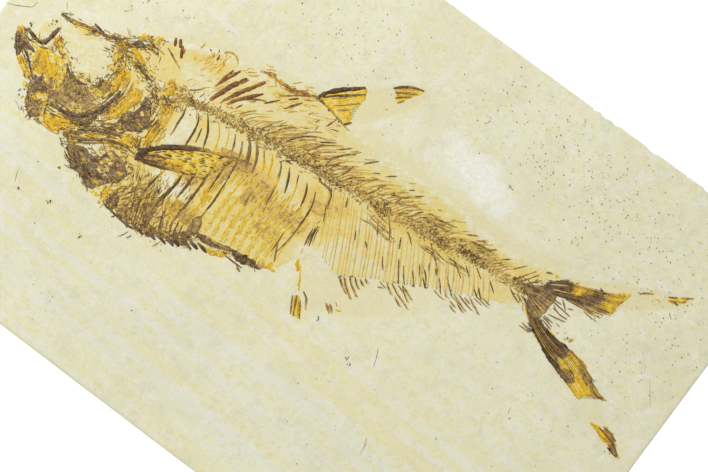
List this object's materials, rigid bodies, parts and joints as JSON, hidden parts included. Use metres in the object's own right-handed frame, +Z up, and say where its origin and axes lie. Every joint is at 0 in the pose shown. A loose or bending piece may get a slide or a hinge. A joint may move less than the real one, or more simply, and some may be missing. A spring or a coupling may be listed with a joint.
{
  "type": "fossil fish slab",
  "caption": "Flat sawn slab of pale lake limestone that lies on its underside, with the flattened brown and amber skeleton of a herring-like fish on its upper face.",
  "frame": {"origin": "middle of the slab's underside", "axes": "+X along the slab's long side, from the fish's head towards its tail; +Y towards the fish's back; +Z up, out of the face with the fish"},
  "size_m": [0.32, 0.2204, 0.0156],
  "materials": {
    "limestone": "matt fine-grained cream limestone, mottled, with faint yellow and grey banding",
    "brown_bone": "dark brown fossil bone, slightly glossy",
    "amber_bone": "translucent-looking amber fossil bone, slightly glossy",
    "column_bone": "granular khaki-brown fossil bone, satin",
    "rib_bone": "brown to yellow fossil bone, satin",
    "scute_bone": "dark brown and amber fossil bone, slightly glossy",
    "fin_bone": "brown to amber fin rays, satin"
  },
  "bodies": {
    "root": {"limestone_slab": "limestone", "anal_fin_front": "fin_bone", "anal_fin_middle": "fin_bone", "anal_fin_rear": "fin_bone", "anal_fin_tip": "fin_bone", "back_fin": "fin_bone", "back_fin_tip": "fin_bone", "belly_scutes": "scute_bone", "braincase": "amber_bone", "breast_fin": "fin_bone", "cheek_plate": "brown_bone", "cleithrum": "brown_bone", "gular_plate": "amber_bone", "hyomandibular": "amber_bone", "jaw_joint": "brown_bone", "lower_jaw": "brown_bone", "nasal_bone": "amber_bone", "opercle": "brown_bone", "palate_plate": "amber_bone", "pelvic_fin": "fin_bone", "pelvic_fin_tip": "fin_bone", "predorsal_01": "brown_bone", "predorsal_02": "brown_bone", "predorsal_03": "brown_bone", "predorsal_04": "brown_bone", "predorsal_05": "brown_bone", "predorsal_06": "brown_bone", "predorsal_07": "brown_bone", "predorsal_08": "brown_bone", "predorsal_09": "brown_bone", "preopercle": "brown_bone", "rib_01": "rib_bone", "rib_02": "rib_bone", "rib_03": "rib_bone", "rib_04": "rib_bone", "rib_05": "rib_bone", "rib_06": "rib_bone", "rib_07": "rib_bone", "rib_08": "rib_bone", "rib_09": "rib_bone", "rib_10": "rib_bone", "rib_11": "rib_bone", "rib_12": "rib_bone", "rib_13": "rib_bone", "rib_14": "rib_bone", "rib_15": "rib_bone", "rib_16": "rib_bone", "rib_17": "rib_bone", "shoulder_plate": "brown_bone", "skull_roof": "brown_bone", "subopercle": "brown_bone", "tail_lower_lobe": "fin_bone", "tail_lower_tip": "fin_bone", "tail_root": "column_bone", "tail_upper_lobe": "fin_bone", "tail_upper_tip": "fin_bone", "tail_vertebrae": "column_bone", "trunk_vertebrae": "column_bone", "upper_jaw": "brown_bone"}
  },
  "joints": []
}
